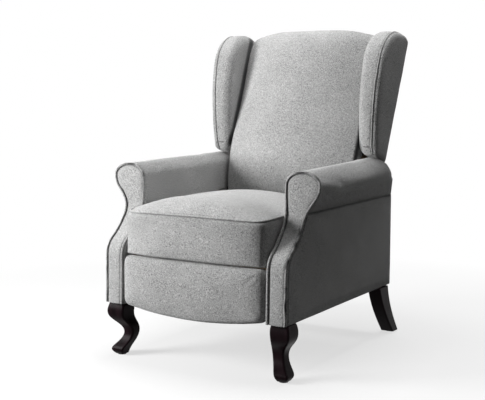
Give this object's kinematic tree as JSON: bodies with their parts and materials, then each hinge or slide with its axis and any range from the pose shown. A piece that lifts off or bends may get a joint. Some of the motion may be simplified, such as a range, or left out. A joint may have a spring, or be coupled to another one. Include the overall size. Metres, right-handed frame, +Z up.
{
  "type": "recliner",
  "caption": "Wingback push-back recliner with rolled arms, a swing-out footrest linkage, a reclining back, a gliding seat and turned-out wooden legs.",
  "frame": {"origin": "on the floor, under the middle of the chair's width and depth", "axes": "+Z up, -Y is the way the sitter faces, +X is the sitter's left"},
  "size_m": [0.716, 0.8253, 1.0033],
  "materials": {
    "upholstery": "grey melange weave",
    "leg_lacquer": "dark gloss lacquer",
    "frame_timber": "raw timber and plywood",
    "mechanism_steel": "black satin",
    "fastener_steel": "zinc plated",
    "webbing": "elastic webbing",
    "glide_plastic": "moulded"
  },
  "bodies": {
    "base": {"front_leg_left": "leg_lacquer", "front_leg_right": "leg_lacquer", "rear_leg_left": "leg_lacquer", "rear_leg_right": "leg_lacquer", "arm_frame_left": "frame_timber", "arm_frame_right": "frame_timber", "arm_rail_left": "frame_timber", "arm_rail_right": "frame_timber", "side_panel_left": "upholstery", "side_panel_right": "upholstery", "inner_arm_pad_left": "upholstery", "inner_arm_pad_right": "upholstery", "arm_roll_left": "upholstery", "arm_roll_right": "upholstery", "arm_front_left": "upholstery", "arm_front_right": "upholstery", "mechanism_plate_left": "mechanism_steel", "mechanism_plate_right": "mechanism_steel", "leg_glides": "glide_plastic", "leg_bolts": "fastener_steel", "arm_posts": "frame_timber", "rear_panel": "upholstery", "cross_rails": "frame_timber", "mechanism_bolts": "fastener_steel", "mechanism_pins": "fastener_steel", "slide_rails": "mechanism_steel", "hinge_plates": "mechanism_steel", "hinge_pins": "fastener_steel"},
    "drive_links": {"drive_link_left": "mechanism_steel", "drive_link_right": "mechanism_steel", "torque_tube": "mechanism_steel", "drive_pins": "fastener_steel"},
    "rear_links": {"rear_link_left": "mechanism_steel", "rear_link_right": "mechanism_steel"},
    "carrier_links": {"carrier_link_left": "mechanism_steel", "carrier_link_right": "mechanism_steel", "carrier_pins": "fastener_steel"},
    "control_links": {"control_link_left": "mechanism_steel", "control_link_right": "mechanism_steel", "control_pins": "fastener_steel"},
    "footrest": {"footrest_bracket_left": "mechanism_steel", "footrest_bracket_right": "mechanism_steel", "footrest_board": "frame_timber", "footrest_pad": "upholstery"},
    "seat": {"seat_frame": "frame_timber", "seat_webbing": "webbing", "seat_runners": "mechanism_steel", "seat_cushion": "upholstery", "seat_front": "upholstery"},
    "back": {"back_frame": "frame_timber", "back_webbing": "webbing", "outside_back": "upholstery", "back_cushion": "upholstery", "wing_left": "upholstery", "wing_right": "upholstery", "wing_board_left": "frame_timber", "wing_board_right": "frame_timber", "back_bracket_left": "mechanism_steel", "back_bracket_right": "mechanism_steel"}
  },
  "joints": [
    {"name": "footrest_swing", "type": "hinge", "parent": "base", "child": "drive_links", "pos_m": [0, -0.225, 0.342], "axis": [-1, 0, 0], "range_deg": [0, 100]},
    {"name": "rear_link_swing", "type": "hinge", "parent": "base", "child": "rear_links", "pos_m": [0, -0.1819, 0.32905], "axis": [-1, 0, 0], "range_deg": [0, 100]},
    {"name": "carrier_swing", "type": "hinge", "parent": "drive_links", "child": "carrier_links", "pos_m": [0, -0.09001, 0.18113], "axis": [-1, 0, 0], "range_deg": [-100, 0]},
    {"name": "control_swing", "type": "hinge", "parent": "drive_links", "child": "control_links", "pos_m": [0, -0.12537, 0.22326], "axis": [-1, 0, 0], "range_deg": [-100, 0]},
    {"name": "footrest_tilt", "type": "hinge", "parent": "carrier_links", "child": "footrest", "pos_m": [0, -0.296, 0.243], "axis": [-1, 0, 0], "range_deg": [0, 100]},
    {"name": "back_recline", "type": "hinge", "parent": "base", "child": "back", "pos_m": [0, 0.165, 0.425], "axis": [-1, 0, 0], "range_deg": [0, 40]},
    {"name": "seat_glide", "type": "slide", "parent": "base", "child": "seat", "axis": [0, -1, 0], "range_m": [0, 0.03]}
  ],
  "couplings": [
    {"joint": "rear_link_swing", "follows": "footrest_swing", "ratio": 1},
    {"joint": "carrier_swing", "follows": "footrest_swing", "ratio": -1},
    {"joint": "control_swing", "follows": "footrest_swing", "ratio": -1},
    {"joint": "footrest_tilt", "follows": "footrest_swing", "ratio": 1},
    {"joint": "seat_glide", "follows": "back_recline", "m_per_rad": 0.04297}
  ]
}
